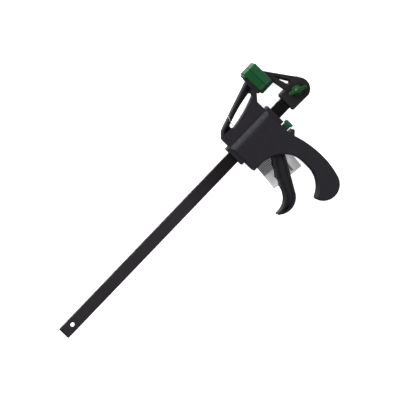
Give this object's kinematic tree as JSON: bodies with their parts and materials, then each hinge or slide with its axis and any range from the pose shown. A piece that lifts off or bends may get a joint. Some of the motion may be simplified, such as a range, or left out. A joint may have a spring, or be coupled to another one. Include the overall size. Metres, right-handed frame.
{
  "type": "quick release bar clamp",
  "caption": "One-handed quick release bar clamp: pistol-grip moving jaw with trigger and release tab sliding on a flat steel bar with a fixed jaw, soft pads and a wing screw.",
  "frame": {"origin": "centre of the hanging hole in the bar's tail, in the clamp's middle plane", "axes": "+X along the bar from the tail to the fixed jaw, +Y from the bar to the clamping pads, +Z out of the side that the wing screw is on"},
  "size_m": [0.4296, 0.186, 0.0335],
  "materials": {
    "blackened_steel": "black oxide, satin",
    "charcoal_nylon": "fine moulded texture",
    "green_rubber": "soft, matt",
    "green_plastic": "moulded, satin",
    "zinc_steel": "zinc plated",
    "spring_steel": "drawn wire",
    "tag_card": "blank printed-stock card, matt",
    "nylon_line": "clear filament"
  },
  "bodies": {
    "frame": {"bar": "blackened_steel", "fixed_jaw": "charcoal_nylon", "fixed_jaw_pad": "green_rubber", "jaw_nut": "zinc_steel"},
    "washer": {"knob_washer": "zinc_steel"},
    "wing_screw": {"wing_knob": "green_plastic", "knob_stud": "zinc_steel"},
    "moving_jaw": {"moving_jaw_body": "charcoal_nylon", "moving_jaw_pad": "green_rubber", "trigger_pin": "spring_steel", "drive_spring": "spring_steel", "brake_spring": "spring_steel", "hang_tag": "tag_card", "tag_loop": "nylon_line"},
    "trigger": {"trigger": "charcoal_nylon"},
    "drive_plates": {"drive_plate_front": "spring_steel", "drive_plate_rear": "spring_steel"},
    "brake": {"brake_plate": "spring_steel", "release_tab": "green_plastic"}
  },
  "joints": [
    {"name": "washer_lift", "type": "slide", "parent": "frame", "child": "washer", "axis": [0, 0, 1], "range_m": [0, 0.0024]},
    {"name": "screw_turn", "type": "hinge", "parent": "washer", "child": "wing_screw", "pos_m": [0.3966, 0.0015, 0], "axis": [0, 0, 1], "range_deg": [0, 1080]},
    {"name": "jaw_slide", "type": "slide", "parent": "frame", "child": "moving_jaw", "axis": [-1, 0, 0], "range_m": [0, 0.3]},
    {"name": "trigger_squeeze", "type": "hinge", "parent": "moving_jaw", "child": "trigger", "pos_m": [0.322, -0.023, 0], "axis": [0, 0, 1], "range_deg": [0, 22], "stiffness_Nm_per_rad": 1.5, "springref_deg": -5.73},
    {"name": "drive_push", "type": "slide", "parent": "moving_jaw", "child": "drive_plates", "axis": [-1, 0, 0], "range_m": [0, 0.00405], "deforming": ["drive_spring"]},
    {"name": "brake_release", "type": "hinge", "parent": "moving_jaw", "child": "brake", "pos_m": [0.3395, 0.013, 0], "axis": [0, 0, -1], "range_deg": [0, 5], "stiffness_Nm_per_rad": 4, "springref_deg": -1.15, "deforming": ["brake_spring"]}
  ],
  "couplings": [
    {"joint": "screw_turn", "follows": "washer_lift", "rad_per_m": 7854},
    {"joint": "drive_push", "follows": "trigger_squeeze", "m_per_rad": 0.01047}
  ]
}
